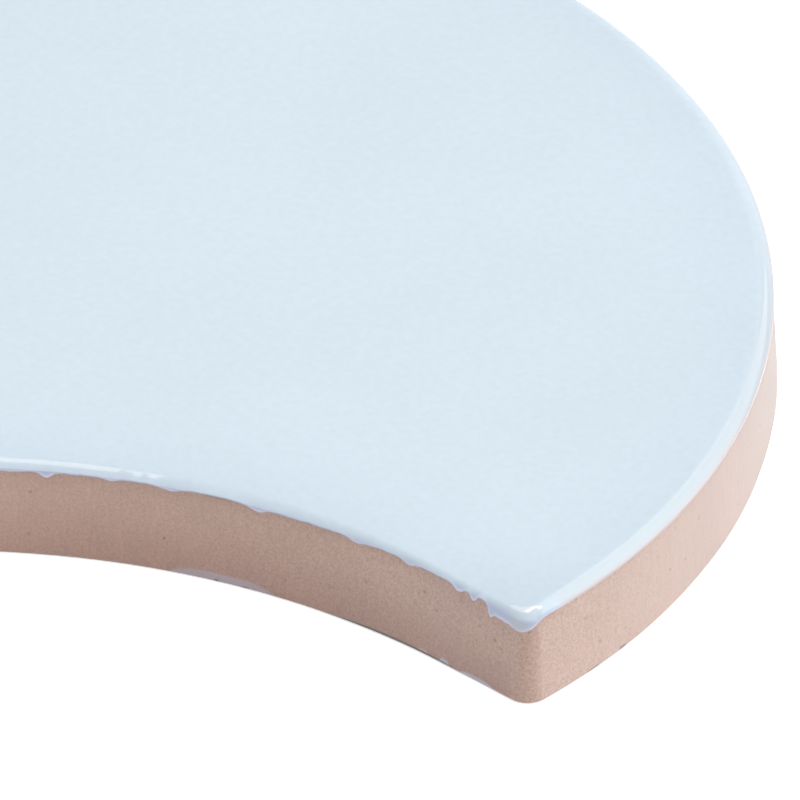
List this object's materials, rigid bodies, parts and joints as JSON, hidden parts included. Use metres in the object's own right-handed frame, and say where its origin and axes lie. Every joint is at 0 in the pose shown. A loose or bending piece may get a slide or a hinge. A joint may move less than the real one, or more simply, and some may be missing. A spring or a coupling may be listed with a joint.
{
  "type": "fish scale tile",
  "caption": "Fish scale tile: a flat clay body with a round head, two hollow flanks and a narrow tail, coated on its face with a glossy glaze that rolls over the edge.",
  "frame": {"origin": "centre of the round head's arc, on the back face", "axes": "+Y towards the top of the round head, +Z out of the glazed face, +X to the right seen from the glazed side"},
  "size_m": [0.131, 0.115, 0.0095],
  "materials": {
    "fired_clay": "unglazed pinkish tan earthenware, matt, fine pores and drag lines",
    "pale_blue_glaze": "milky pale blue gloss glaze, lavender grey where it runs thin at the edge"
  },
  "bodies": {
    "root": {"clay_body": "fired_clay", "glaze_coat": "pale_blue_glaze"}
  },
  "joints": []
}
